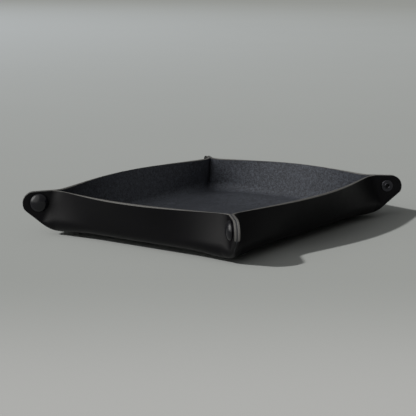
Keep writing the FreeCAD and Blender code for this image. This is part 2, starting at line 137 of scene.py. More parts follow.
# Rows and columns of the meshes. Rows lie closer together at the rim, columns towards the ends of a wall.
BEND_STEPS = 10
BODY_ROWS = 15
BODY_END_SHARE = 0.972
RIM_SHARES = (0.982, 0.990, 0.996, 1.0)
RUBBED_ROWS = 3
WALL_COLUMNS = 113
WALL_CROWD_SHARE = 0.25
FLOOR_COLUMNS = 71
FLOOR_CROWD_SHARE = 0.4
EAR_BEND_COLUMNS = 15
TIP_POINTS = 29
RIM_POINTS = 17
LOWER_POINTS = 25
DENT_RINGS = 5
FADE_RINGS = 4
RING_SHARES = (0.06, 0.12, 0.2, 0.3, 0.4, 0.5, 0.6, 0.7, 0.79, 0.86, 0.92, 0.95, 0.975, 0.99, 1.0)
ROUND_STEPS = 64
DOME_POINTS = 28
EDGE_POINTS = 10
LIP_POINTS = 14
POST_ROLL_POINTS = 8
# Points closer than this are one, edges shorter than this go, and corners past this angle stay sharp.
MERGE_DISTANCE = 0.002
SLIVER_LENGTH = 0.001
SMOOTH_ANGLE = math.radians(38)

ALL = slice(None)
CREASE_ROWS = slice(0, BEND_STEPS + 1)
UPPER_ROWS = slice(BEND_STEPS, None)

WALL_TURNS = {"front": math.pi, "right": -math.pi / 2, "back": 0.0, "left": math.pi / 2}
CAP_WALLS = ("front", "back")
# Corner: its signs along X and Y, the direction of its diagonal, and the walls before and after it.
Corner = namedtuple("Corner", "sign_x sign_y direction before after")
CORNERS = {
    "front_right": Corner(1, -1, math.radians(-45), "front", "right"),
    "back_right": Corner(1, 1, math.radians(45), "right", "back"),
    "back_left": Corner(-1, 1, math.radians(135), "back", "left"),
    "front_left": Corner(-1, -1, math.radians(225), "left", "front"),
}


# Helpers for surfaces

def ease(low, high, value):
    """Smooth step from 0 at low to 1 at high."""
    share = np.clip((value - low) / (high - low), 0.0, 1.0)
    return share * share * (3.0 - 2.0 * share)


def unit(vectors):
    """Vectors divided by their lengths."""
    return vectors / np.linalg.norm(vectors, axis=-1, keepdims=True)


def spin(points, angle):
    """Points turned about the Z axis."""
    x = points[..., 0] * math.cos(angle) - points[..., 1] * math.sin(angle)
    y = points[..., 0] * math.sin(angle) + points[..., 1] * math.cos(angle)
    return np.stack([x, y, points[..., 2]], axis=-1)


def crowded(count, crowd_share):
    """Places from -1 to 1, closer together towards both ends: a straight line less a share of its cube."""
    place = np.linspace(-1.0, 1.0, count)
    return place * (1.0 + crowd_share - crowd_share * place ** 2)


class Skin:
    """Gathers grids of points and the quads between them, with two masks that the leather reads."""

    def __init__(self):
        self.points = []
        self.inside = []
        self.cut = []
        self.quads = []
        self.count = 0

    def add(self, grid, inside=0.0, cut=0.0):
        """Stores a grid of points and gives back the grid of their numbers."""
        shape = grid.shape[:-1]
        total = int(np.prod(shape))
        self.points.append(grid.reshape(-1, 3))
        self.inside.append(np.broadcast_to(inside, shape).reshape(-1))
        self.cut.append(np.broadcast_to(cut, shape).reshape(-1))
        numbers = np.arange(self.count, self.count + total).reshape(shape)
        self.count += total
        return numbers

    def fill(self, numbers):
        """Quads over a grid of point numbers."""
        quads = [numbers[:-1, :-1], numbers[1:, :-1], numbers[1:, 1:], numbers[:-1, 1:]]
        self.quads.append(np.stack(quads, axis=-1).reshape(-1, 4))

    def close(self, outer, inner, edges):
        """Bands of quads between two grids of point numbers, along the given edges."""
        for edge in edges:
            self.fill(np.stack([outer[edge], inner[edge]]))

    def sheet(self, outside, inside, edges, cut=0.0):
        """A piece of leather: its outer and inner face, closed along the given edges."""
        outer = self.add(outside, 0.0, cut)
        inner = self.add(inside, 1.0, cut)
        self.fill(outer)
        self.fill(inner)
        self.close(outer, inner, edges)

    def build(self, name, material):
        """Makes the closed mesh: doubles merged, faces outwards, hard corners kept sharp."""
        mesh = bpy.data.meshes.new(name)
        points = np.concatenate(self.points) * MM
        quads = np.concatenate(self.quads)
        mesh.from_pydata(points, [], quads)
        for mask_name, mask in (("inside", self.inside), ("cut", self.cut)):
            values = np.concatenate(mask).astype(np.float32)
            mesh.attributes.new(mask_name, "FLOAT", "POINT").data.foreach_set("value", values)
        work = bmesh.new()
        work.from_mesh(mesh)
        bmesh.ops.remove_doubles(work, verts=work.verts, dist=MERGE_DISTANCE * MM)
        bmesh.ops.dissolve_degenerate(work, edges=work.edges, dist=SLIVER_LENGTH * MM)
        bmesh.ops.recalc_face_normals(work, faces=work.faces)
        work.to_mesh(mesh)
        work.free()
        mesh.shade_smooth()
        mesh.set_sharp_from_angle(angle=SMOOTH_ANGLE)
        mesh.materials.append(material)
        piece = bpy.data.objects.new(name, mesh)
        bpy.context.collection.objects.link(piece)
        return piece


# Floor and walls

def cut_recess(distance):
    """How far a face falls back next to a cut edge: a parabola that runs out at the rounding's width."""
    return CUT_ROUND * (1.0 - np.minimum(distance / CUT_ROUND, 1.0)) ** 2


def underside(across, along):
    """Height of the floor's underside: flat in the middle, rising to the edges and less to the corners.

    The dish is the sum of the smooth rises across and along less twice a share of their product.
    """
    side_end = HALF_WIDTH - CREASE_RADIUS
    front_end = HALF_LENGTH - CREASE_RADIUS
    across_rise = ease(side_end - CURL_WIDTH, side_end, np.abs(across))
    along_rise = ease(front_end - CURL_WIDTH, front_end, np.abs(along))
    dish = across_rise + along_rise - 2.0 * CORNER_FALL_SHARE * across_rise * along_rise
    return (EDGE_LIFT + BELLY_SAG) * dish - BELLY_SAG


def rise_shares():
    """Rows from the top of the crease to the rim as shares of that height, close together at the rim."""
    return np.concatenate([np.linspace(0.0, BODY_END_SHARE, BODY_ROWS), RIM_SHARES])


def wall_extent(wall):
    """Half of the wall's length and its distance from the middle of the tray."""
    return (HALF_WIDTH, HALF_LENGTH) if wall in CAP_WALLS else (HALF_LENGTH, HALF_WIDTH)


def ear_bend(wall):
    """Length along the wall of the soft bend into its ear."""
    return CAP_BEND if wall in CAP_WALLS else POST_BEND


def rim_inset(wall):
    """How far the rim's ends lie in from the foot: the pinch's inset and more for a softer bend."""
    return PINCH_INSET + (ear_bend(wall) - TIGHT_BEND) / math.sqrt(2)


def wall_ends(wall):
    """Where each row of a wall gives way to the ear's bend.

    A row stops the bend's length short of the ear's outer face, so the ends slant in with the wall's faces.
    Round the crease they run over to the floor's corner.
    """
    half, _ = wall_extent(wall)
    foot_end = half - math.sqrt(2) * (EAR_GAP + THICKNESS) - ear_bend(wall)
    turn_share = np.linspace(0.0, 1.0, BEND_STEPS + 1)
    bend = half - CREASE_RADIUS + (foot_end - half + CREASE_RADIUS) * turn_share
    rise = foot_end - rim_inset(wall) * rise_shares()[1:]
    return np.concatenate([bend, rise])


def wall_outside(wall, along):
    """Outer face of a wall for an array of rows by places along it, in the wall's own frame.

    Each slice is a round crease about a centre one radius in from the foot, then a straight line that leaves
    the crease at a tangent and ends on the rim. The rim's bow is one less a power of the place along it, to a
    second power that lets it run out level before the corners.
    """
    half, depth = wall_extent(wall)
    from_middle = np.minimum(np.abs(along) / (half - PINCH_INSET), 1.0)
    bow = (1.0 - from_middle ** BOW_POWER) ** BOW_END_POWER
    inset = rim_inset(wall)
    rim_out = depth + (RIM_BULGE + inset) * bow - inset
    centre_out = depth - CREASE_RADIUS
    foot = underside(along, centre_out) if wall in CAP_WALLS else underside(centre_out, along)
    centre_up = foot + CREASE_RADIUS
    reach_out = rim_out - centre_out
    reach_up = RIM_HEIGHT - centre_up
    reach = np.hypot(reach_out, reach_up)
    lean = np.arctan2(reach_up, reach_out) - np.arccos(CREASE_RADIUS / reach)
    turn_share = np.linspace(0.0, 1.0, BEND_STEPS + 1)[:, None]
    rise_share = rise_shares()[1:, None]
    rest = slice(BEND_STEPS + 1, None)
    angle = -math.pi / 2 + (lean[CREASE_ROWS] + math.pi / 2) * turn_share
    bend_out = centre_out + CREASE_RADIUS * np.cos(angle)
    bend_up = centre_up[CREASE_ROWS] + CREASE_RADIUS * np.sin(angle)
    top_out = centre_out + CREASE_RADIUS * np.cos(lean[rest])
    top_up = centre_up[rest] + CREASE_RADIUS * np.sin(lean[rest])
    rise_out = top_out + (rim_out[rest] - top_out) * rise_share
    rise_up = top_up + (RIM_HEIGHT - top_up) * rise_share
    out = np.concatenate([bend_out, rise_out])
    up = np.concatenate([bend_up, rise_up])
    normal_angle = np.concatenate([angle, lean[rest]])
    slope = np.stack([np.zeros_like(out), -np.sin(normal_angle), np.cos(normal_angle)], axis=-1)
    return np.stack([along, out, up], axis=-1), slope


def wall_faces(wall, along):
    """Outer and inner face of a wall and its direction along, from the outer face and its normals."""
    outside, slope = wall_outside(wall, along)
    ahead, _ = wall_outside(wall, along + HEADING_STEP)
    behind, _ = wall_outside(wall, along - HEADING_STEP)
    heading = unit(ahead - behind)
    normal = unit(np.cross(slope, heading))
    below_rim = (1.0 - rise_shares()[1:]) * (RIM_HEIGHT - CREASE_RADIUS)
    far = np.full(BEND_STEPS + 1, RIM_HEIGHT)
    recess = cut_recess(np.concatenate([far, below_rim]))[:, None, None]
    inside = outside - normal * (THICKNESS - recess)
    inside[0] = outside[0] + np.array([0.0, 0.0, THICKNESS])
    return outside - normal * recess, inside, heading


def rubbed_rim(shape):
    """The cut mask of a grid whose last rows lie along the rim."""
    cut = np.zeros(shape)
    cut[-RUBBED_ROWS:] = 1.0
    return cut


def wall_piece(wall, material):
    """One wall: its two faces, the edges between them, and the ends of its crease at both corners."""
    along = wall_ends(wall)[:, None] * crowded(WALL_COLUMNS, WALL_CROWD_SHARE)
    outside, inside, _ = wall_faces(wall, along)
    turn = WALL_TURNS[wall]
    edges = ((0, ALL), (-1, ALL), (UPPER_ROWS, 0), (UPPER_ROWS, -1))
    skin = Skin()
    skin.sheet(spin(outside, turn), spin(inside, turn), edges, rubbed_rim(along.shape))
    for name, corner in CORNERS.items():
        if wall in (corner.before, corner.after):
            add_crease_end(skin, wall, name)
    piece = skin.build(f"{wall}_wall_leather", material)
    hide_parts(f"{wall}_wall")
    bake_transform(piece)


def floor_piece(material):
    """The floor between the creases: a sheet that is flat in the middle and curls up towards its edges."""
    place = crowded(FLOOR_COLUMNS, FLOOR_CROWD_SHARE)
    across, along = np.meshgrid(place * (HALF_WIDTH - CREASE_RADIUS), place * (HALF_LENGTH - CREASE_RADIUS))
    outside = np.stack([across, along, underside(across, along)], axis=-1)
    inside = outside + np.array([0.0, 0.0, THICKNESS])
    skin = Skin()
    skin.sheet(outside, inside, ((0, ALL), (-1, ALL), (ALL, 0), (ALL, -1)))
    piece = skin.build("floor_leather", material)
    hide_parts("floor_panel")
    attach(piece, "floor")


# Ear leaves, in the corner's frame: X out along the diagonal, Y across it, Z up

def corner_origin(corner):
    """The inner corner that a corner's frame starts from."""
    across = CORNERS[corner].sign_x * (HALF_WIDTH - THICKNESS)
    along = CORNERS[corner].sign_y * (HALF_LENGTH - THICKNESS)
    return np.array([across, along, 0.0])


def to_corner(corner, points):
    """Points of the tray in a corner's frame."""
    return spin(points - corner_origin(corner), -CORNERS[corner].direction)


def from_corner(corner, points):
    """Points of a corner's frame in the tray's frame."""
    return spin(points, CORNERS[corner].direction) + corner_origin(corner)


def ear_side(wall, corner):
    """The side of the corner's plane where the wall's leaf lies: -1 for the wall before it, 1 after it."""
    return -1 if CORNERS[corner].before == wall else 1


def snap_seat(wall):
    """How the fitting on the wall's leaves sits."""
    return CAP_SEAT if wall in CAP_WALLS else POST_SEAT


def tip_centre():
    """Centre of the ear's round tip."""
    return EAR_TIP - EAR_TIP_RADIUS, RIM_HEIGHT - EAR_TIP_RADIUS - EAR_DROOP


def edge_distance(along, up):
    """Distance in from the ear's outline: the nearest of its rim, sloping lower edge and round tip."""
    centre_along, centre_up = tip_centre()
    from_along = along - centre_along
    from_up = up - centre_up
    to_rim = EAR_TIP_RADIUS - (from_along * math.sin(RIM_SLOPE) + from_up * math.cos(RIM_SLOPE))
    to_lower = EAR_TIP_RADIUS - (from_along * math.sin(EAR_SLOPE) - from_up * math.cos(EAR_SLOPE))
    past_rim = from_along * math.cos(RIM_SLOPE) - from_up * math.sin(RIM_SLOPE) > 0
    past_lower = from_along * math.cos(EAR_SLOPE) + from_up * math.sin(EAR_SLOPE) > 0
    to_tip = EAR_TIP_RADIUS - np.hypot(from_along, from_up)
    in_tip = past_rim & past_lower
    return np.maximum(np.where(in_tip, to_tip, np.minimum(to_rim, to_lower)), 0.0)


def leaf_faces(along, up, seat):
    """Distances of a leaf's outer and inner face from the corner's plane.

    Where the leather is cut, both faces round off towards the edge. Low down it is folded, and the outer face
    runs round a quarter circle to the corner's plane. The snap presses both faces in.
    """
    distance = edge_distance(along, up)
    folded = 1.0 - ease(*FOLD_ENDS, up)
    recess = cut_recess(distance)
    round_share = 1.0 - np.minimum(distance / FOLD_RADIUS, 1.0)
    fold_face = THICKNESS * np.sqrt(1.0 - round_share ** 2)
    from_snap = np.hypot(along - SNAP_ALONG, up - SNAP_UP)
    sunk = (seat.depth - EAR_GAP) * (1.0 - ease(seat.dent, seat.dent + DENT_FADE, from_snap))
    pressed = PRESS_DEPTH * (1.0 - ease(PRESS_FLAT_SHARE * seat.press, seat.press, from_snap))
    inner = (1.0 - folded) * (EAR_GAP + recess) + sunk
    outer = folded * fold_face + (1.0 - folded) * (EAR_GAP + THICKNESS - recess) - pressed
    return np.maximum(outer, inner), inner


def bridge(start, start_heading, end, end_heading):
    """Rows that leave one line of points and arrive at another along given headings, as cubic curves.

    Each curve's handles are shares of the distance that it spans, longer on the wall than on the leaf.
    """
    span = np.linalg.norm(end - start, axis=-1, keepdims=True)
    share = np.linspace(0.0, 1.0, EAR_BEND_COLUMNS)[None, :, None]
    first = start[:, None]
    second = (start + start_heading * span * WALL_PULL_SHARE)[:, None]
    third = (end - end_heading * span * LEAF_PULL_SHARE)[:, None]
    last = end[:, None]
    back = 1.0 - share
    leaving = back ** 3 * first + 3 * back ** 2 * share * second
    arriving = 3 * back * share ** 2 * third + share ** 3 * last
    return leaving + arriving


def ear_root(start, heading, side):
    """Where the bend runs out into the flat leaf: past the faces' meeting line by a share of the wall's bend.

    The lowest rows climb square to the lower edge, round the fold.
    """
    face = side * (EAR_GAP + THICKNESS)
    run = (face - start[UPPER_ROWS, 1]) / heading[UPPER_ROWS, 1]
    meeting = start[UPPER_ROWS, 0] + heading[UPPER_ROWS, 0] * run
    along = meeting + LEAF_BEND_SHARE * run
    centre_along, centre_up = tip_centre()
    inward = np.array([-math.sin(EAR_SLOPE), math.cos(EAR_SLOPE)])
    level = along[0] * inward[0] - (centre_along * inward[0] + centre_up * inward[1]) + EAR_TIP_RADIUS
    low_up = (FOLD_RADIUS - level) / inward[1]
    up = low_up + (RIM_HEIGHT - low_up) * rise_shares()
    turn = np.linspace(0.0, math.pi / 2, BEND_STEPS + 1)[:-1]
    below = FOLD_RADIUS * np.cos(turn)
    fold_along = along[0] - inward[0] * below
    fold_up = low_up - inward[1] * below
    return np.concatenate([fold_along, along]), np.concatenate([fold_up, up])


def ear_outline(root_along, root_up):
    """The leaf's outline as one loop: up the root, out along the rim, round the tip, down the lower edge."""
    centre_along, centre_up = tip_centre()
    angle = np.linspace(math.pi / 2 - RIM_SLOPE, EAR_SLOPE - math.pi / 2, TIP_POINTS)
    tip_along = centre_along + EAR_TIP_RADIUS * np.cos(angle)
    tip_up = centre_up + EAR_TIP_RADIUS * np.sin(angle)
    rim_share = np.linspace(0.0, 1.0, RIM_POINTS)[1:-1]
    rim_along = root_along[-1] + (tip_along[0] - root_along[-1]) * rim_share
    rim_up = root_up[-1] + (tip_up[0] - root_up[-1]) * rim_share
    low_share = np.linspace(0.0, 1.0, LOWER_POINTS)[1:-1]
    low_along = tip_along[-1] + (root_along[0] - tip_along[-1]) * low_share
    low_up = tip_up[-1] + (root_up[0] - tip_up[-1]) * low_share
    along = np.concatenate([root_along, rim_along, tip_along, low_along])
    up = np.concatenate([root_up, rim_up, tip_up, low_up])
    return along, up


def leaf_rings(outline_along, outline_up, seat):
    """Rings from the snap's hole out to the leaf's outline: circles first, then stretched to the outline."""
    circle_along = outline_along - SNAP_ALONG
    circle_up = outline_up - SNAP_UP
    length = np.hypot(circle_along, circle_up)
    circle_along = circle_along / length
    circle_up = circle_up / length
    fade = np.linspace(seat.dent, seat.dent + DENT_FADE, FADE_RINGS + 1)[1:]
    radii = np.concatenate([np.linspace(seat.hole, seat.dent, DENT_RINGS), fade])
    circles = np.repeat(radii[:, None], length.size, axis=1)
    stretched = radii[-1] + (length - radii[-1]) * np.array(RING_SHARES)[:, None]
    reach = np.concatenate([circles, stretched])
    return SNAP_ALONG + circle_along * reach, SNAP_UP + circle_up * reach


def ear_bend_faces(wall, corner):
    """Outer and inner face of the bend from a wall's end into its leaf, and the root line of the leaf.

    The headings turn from the diagonal, at the floor's corner, to the wall's own direction above the crease.
    """
    side = ear_side(wall, corner)
    turn = WALL_TURNS[wall]
    outside, inside, heading = wall_faces(wall, side * wall_ends(wall)[:, None])
    start_out = to_corner(corner, spin(outside[:, 0], turn))
    start_in = to_corner(corner, spin(inside[:, 0], turn))
    heading = spin(spin(heading[:, 0], turn), -CORNERS[corner].direction) * side
    low = ease(0.0, 1.0, np.linspace(0.0, 1.0, BEND_STEPS + 1))
    follow = np.concatenate([low, np.ones(len(heading) - low.size)])[:, None]
    diagonal = unit(np.array([1.0, 0.0, FOOT_CLIMB_SHARE]))
    heading = unit(diagonal * (1.0 - follow) + heading * follow)
    root_along, root_up = ear_root(start_out, heading, side)
    root_out, root_in = leaf_faces(root_along, root_up, snap_seat(wall))
    height_share = np.clip((root_up - root_up[0]) / (RIM_HEIGHT - root_up[0]), 0.0, 1.0)
    climb = EAR_SLOPE * (1.0 - height_share) ** CLIMB_POWER
    leave = np.stack([np.cos(climb), np.zeros_like(climb), np.sin(climb)], axis=-1)
    end_out = np.stack([root_along, side * root_out, root_up], axis=-1)
    end_in = np.stack([root_along, side * root_in, root_up], axis=-1)
    bend_out = bridge(start_out, heading, end_out, leave)
    bend_in = bridge(start_in, heading, end_in, leave)
    return bend_out, bend_in, root_along, root_up


def add_crease_end(skin, wall, corner):
    """The end of a wall's crease at a corner: the bend's rows up to the top of the crease."""
    bend_out, bend_in, _, _ = ear_bend_faces(wall, corner)
    outside = from_corner(corner, bend_out[CREASE_ROWS])
    inside = from_corner(corner, bend_in[CREASE_ROWS])
    skin.sheet(outside, inside, ((0, ALL), (-1, ALL), (ALL, -1)))


def add_lobe(skin, wall, corner, root_along, root_up):
    """The flat lobe of a leaf: rings round the snap's hole on both faces, the hole's wall, the free edges."""
    side = ear_side(wall, corner)
    seat = snap_seat(wall)
    ring_along, ring_up = leaf_rings(*ear_outline(root_along, root_up), seat)
    cut = np.zeros(ring_along.shape)
    cut[-1] = ease(*FOLD_ENDS, ring_up[-1])
    cut[-1, 1:len(root_along) - 1] = 0.0
    faces = []
    for inside, distance in enumerate(leaf_faces(ring_along, ring_up, seat)):
        points = np.stack([ring_along, side * distance, ring_up], axis=-1)
        numbers = skin.add(from_corner(corner, points), inside, cut)
        faces.append(np.concatenate([numbers, numbers[:, :1]], axis=1))
    for numbers in faces:
        skin.fill(numbers)
    free = slice(len(root_along) - 1, None)
    skin.close(*faces, ((-1, CREASE_ROWS), (-1, free), (0, ALL)))


def ear_piece(wall, corner, material):
    """One leaf: the bend out of its wall above the crease, and the flat lobe with the snap's hole."""
    bend_out, bend_in, root_along, root_up = ear_bend_faces(wall, corner)
    outside = from_corner(corner, bend_out[UPPER_ROWS])
    inside = from_corner(corner, bend_in[UPPER_ROWS])
    skin = Skin()
    skin.sheet(outside, inside, ((0, ALL), (-1, ALL), (ALL, 0)), rubbed_rim(outside.shape[:2]))
    add_lobe(skin, wall, corner, root_along, root_up)
    ear = f"{wall}_wall_{corner}_ear"
    piece = skin.build(f"{ear}_leather", material)
    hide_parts(ear)
    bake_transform(piece)


# Snaps: profiles of (radius, distance out from the corner's plane), turned about the snap's axis

def turned_piece(name, wall, corner, profile, material):
    """A profile turned round the snap's axis. Its ends lie on the axis or it closes on itself."""
    steps = np.linspace(0.0, 2.0 * math.pi, ROUND_STEPS + 1)[:-1]
    radius = profile[:, 0][:, None]
    out = ear_side(wall, corner) * profile[:, 1][:, None]
    along = SNAP_ALONG + radius * np.cos(steps)
    up = SNAP_UP + radius * np.sin(steps)
    points = np.stack([along, np.broadcast_to(out, along.shape), up], axis=-1)
    skin = Skin()
    numbers = skin.add(from_corner(corner, points))
    skin.fill(np.concatenate([numbers, numbers[:, :1]], axis=1))
    return skin.build(name, material)


def arc_points(centre, radii, start, end, count):
    """Points on an ellipse's arc between two angles in degrees."""
    angle = np.radians(np.linspace(start, end, count))
    return np.stack([centre[0] + radii[0] * np.cos(angle), centre[1] + radii[1] * np.sin(angle)], axis=-1)


def cap_piece(wall, corner, material):
    """The snap's cap: a low dome that turns under into a rolled edge, with its barrel through the leather."""
    face = EAR_GAP + THICKNESS - CAP_SINK
    roll = CAP_ROLL_RADIUS
    dome = arc_points((0.0, face + roll), (CAP_RADIUS, CAP_HEIGHT - roll), 90, 0, DOME_POINTS)
    under = arc_points((CAP_RADIUS - roll, face + roll), (roll, roll), 0, CAP_ROLL_END, EDGE_POINTS)[1:]
    barrel = np.array([
        (CAP_BARREL_RADIUS, face - BARREL_TUCK),
        (CAP_BARREL_RADIUS, CAP_FLARE_OUT),
        (CAP_FLARE_RADIUS, CAP_FLARE_OUT),
        (CAP_FLARE_RADIUS, CAP_FOOT_OUT),
        (0.0, CAP_FOOT_OUT)])
    profile = np.concatenate([dome, under, barrel])
    piece = turned_piece(f"{corner}_cap_dome", wall, corner, profile, material)
    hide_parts(f"{corner}_snap_cap")
    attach(piece, f"{wall}_wall_{corner}_ear")


def post_piece(wall, corner, material):
    """The snap's post: a rounded flange, a drawn lip round its bore, and a barrel rolled over on the stud."""
    face = EAR_GAP + THICKNESS - POST_SINK
    edge_centre = (POST_RADIUS - POST_EDGE_ROUND, face + POST_EDGE_RISE)
    edge_radii = (POST_EDGE_ROUND, POST_HEIGHT - POST_EDGE_RISE)
    edge = arc_points(edge_centre, edge_radii, 0, 90, EDGE_POINTS)
    lip_centre = (POST_BORE + LIP_ROUND, face + POST_HEIGHT - LIP_SINK)
    lip = arc_points(lip_centre, (LIP_ROUND, LIP_HEIGHT), LIP_START, 180, LIP_POINTS)
    bore = np.array([(POST_BORE, BORE_OUT), (POST_BORE, BORE_FOOT_OUT)])
    roll_centre = (POST_BARREL_RADIUS, POST_ROLL_OUT)
    roll = arc_points(roll_centre, POST_ROLL_RADII, POST_ROLL_START, 0, POST_ROLL_POINTS)
    barrel = np.array([
        (POST_FLARE_RADIUS, POST_FLARE_OUT),
        (POST_BARREL_RADIUS, POST_STUD_OUT),
        (POST_BARREL_RADIUS, face - BARREL_TUCK),
        (POST_RADIUS, face - BARREL_TUCK)])
    profile = np.concatenate([edge, lip, bore, roll, barrel, edge[:1]])
    piece = turned_piece(f"{corner}_post_flange", wall, corner, profile, material)
    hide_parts(f"{corner}_snap_post")
    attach(piece, f"{wall}_wall_{corner}_ear")


# Materials. Pairs of colours run from dark to bright, and scales count cells in a metre.

GRAIN_COLOURS = ((0.0007, 0.0006, 0.0010, 1), (0.0014, 0.0012, 0.0020, 1))
GRAIN_CELLS = 1100.0
GRAIN_PATCHES = 45.0
GRAIN_RELIEF_SHARE = 0.10
FINE_GRAIN_TIMES = 2.2
PORE_DEPTH = -0.6
# Inner nap: its own dark colour, lifted and tinted blue by painted sheen that stands for the window's
# reflection. Its lighter specks are partly painted glints.
NAP_AND_SHEEN_COLOURS = ((0.019, 0.0202, 0.0237, 1), (0.056, 0.061, 0.074, 1))
NAP_SCALE = 900.0
NAP_SHARE = 0.7
CLUMP_SCALE = 420.0
CLUMP_SHARE = 0.3
SPECK_ENDS = (0.36, 0.66)
CUT_COLOURS = ((0.06, 0.059, 0.057, 1), (0.14, 0.137, 0.132, 1))
FIBRE_SCALE = 1500.0
INSIDE_ENDS = (0.45, 0.55)
CUT_ENDS = (0.55, 0.95)
GRAIN_ROUGHNESS = 0.40
GRAIN_ROUGHNESS_SPREAD = 0.16
NAP_ROUGHNESS = 0.55
LEATHER_SHINE = 0.12
LEATHER_BUMP = 0.5
LEATHER_BUMP_HEIGHT = 0.4

CAP_COLOURS = ((0.003, 0.003, 0.004, 1), (0.006, 0.006, 0.008, 1))
NICKEL_COLOURS = ((0.03, 0.03, 0.034, 1), (0.06, 0.06, 0.068, 1))
WIRE_COLOURS = ((0.42, 0.42, 0.43, 1), (0.58, 0.58, 0.60, 1))
METAL_CELLS = 700.0
METAL_PATCHES = 160.0
METAL_ROUGHNESS_SPREAD = 0.12
METAL_BUMP = 0.15
METAL_BUMP_HEIGHT = 0.05

# The table is plain grey paper. Its colour holds painted light: paler in front of the tray and towards a
# window far to its left. Places are in metres.
TABLE_REACH = 12.0
TABLE_FRONT = (0.582, -0.813, 0.0)
FRONT_FADE = (0.15, 0.40)
TABLE_WINDOW = (-3.8, 1.0, 0.0)
WINDOW_FADE = 5.0
# Painted light: the paler grey in front and the bluish pale grey round the window stand in for how the light
# falls on the table.
TABLE_GREY = (0.275, 0.283, 0.274, 1)
TABLE_FRONT_PAINTED_LIGHT = (0.388, 0.390, 0.386, 1)
TABLE_WINDOW_PAINTED_LIGHT = (0.449, 0.474, 0.498, 1)
TABLE_MOTTLE = (0.5, 0.5, 0.5, 1)
MOTTLE_SCALE = 3.0
MOTTLE_SHARE = 0.06


class Nodes:
    """Short ways to add and link nodes of one tree."""

    def __init__(self, tree):
        self.tree = tree
        tree.nodes.clear()

    def add(self, kind, links=None, **settings):
        """A new node with its settings, and its sockets linked or set."""
        node = self.tree.nodes.new(kind)
        for key, value in settings.items():
            setattr(node, key, value)
        for socket, value in (links or {}).items():
            self.put(node.inputs[socket], value)
        return node

    def put(self, socket, value):
        """Links an output to a socket, or sets the socket's own value."""
        if isinstance(value, bpy.types.NodeSocket):
            self.tree.links.new(value, socket)
        else:
            socket.default_value = value

    def math(self, operation, first, second):
        """The result of one operation on two values."""
        return self.add("ShaderNodeMath", {0: first, 1: second}, operation=operation).outputs[0]

    def blend(self, share, first, second):
        """A colour between two."""
        node = self.add("ShaderNodeMix", data_type="RGBA")
        self.put(node.inputs["Factor"], share)
        self.put(node.inputs[6], first)
        self.put(node.inputs[7], second)
        return node.outputs[2]

    def between(self, share, first, second):
        """A value between two."""
        return self.add("ShaderNodeMix", {0: share, 2: first, 3: second}, data_type="FLOAT").outputs[0]

    def ramp(self, value, low, high):
        """Smooth step from 0 at low to 1 at high."""
        node = self.add("ShaderNodeMapRange", {"Value": value, "From Min": low, "From Max": high})
        node.interpolation_type = "SMOOTHSTEP"
        return node.outputs["Result"]

    def mask(self, name, ends):
        """One of the masks stored on the mesh, sharpened between two levels."""
        return self.ramp(self.add("ShaderNodeAttribute", attribute_name=name).outputs["Fac"], *ends)

    def noise(self, place, scale, detail, roughness=0.55):
        """Cloudy noise from 0 to 1."""
        links = {"Vector": place, "Scale": scale, "Detail": detail, "Roughness": roughness}
        return self.add("ShaderNodeTexNoise", links).outputs["Fac"]

    def bump(self, strength, height, relief):
        """A normal from a height map that stands for so many millimetres."""
        links = {"Strength": strength, "Distance": height * MM, "Height": relief}
        return self.add("ShaderNodeBump", links).outputs["Normal"]


def grain_group():
    """Skin grain: pores between soft cells, with slow patches. Puts out a height and a patch mask."""
    group = bpy.data.node_groups.new("skin grain", "ShaderNodeTree")
    sockets = {"Cell Scale": "INPUT", "Patch Scale": "INPUT", "Height": "OUTPUT", "Patches": "OUTPUT"}
    for name, way in sockets.items():
        group.interface.new_socket(name, in_out=way, socket_type="NodeSocketFloat")
    nodes = Nodes(group)
    given = nodes.add("NodeGroupInput")
    place = nodes.add("ShaderNodeTexCoord").outputs["Object"]
    cells = nodes.add("ShaderNodeTexVoronoi", {"Vector": place, "Scale": given.outputs["Cell Scale"]})
    fine_scale = nodes.math("MULTIPLY", given.outputs["Cell Scale"], FINE_GRAIN_TIMES)
    fine = nodes.noise(place, fine_scale, detail=2.0)
    pores = nodes.math("MULTIPLY", cells.outputs["Distance"], PORE_DEPTH)
    height = nodes.math("ADD", pores, fine)
    patches = nodes.noise(place, given.outputs["Patch Scale"], detail=3.0)
    nodes.add("NodeGroupOutput", {"Height": height, "Patches": patches})
    return group


def new_material(name):
    """An empty node material with its shader and output."""
    material = bpy.data.materials.new(name)
    material.use_nodes = True
    nodes = Nodes(material.node_tree)
    shader = nodes.add("ShaderNodeBsdfPrincipled")
    nodes.add("ShaderNodeOutputMaterial", {"Surface": shader.outputs["BSDF"]})
    return material, nodes, shader


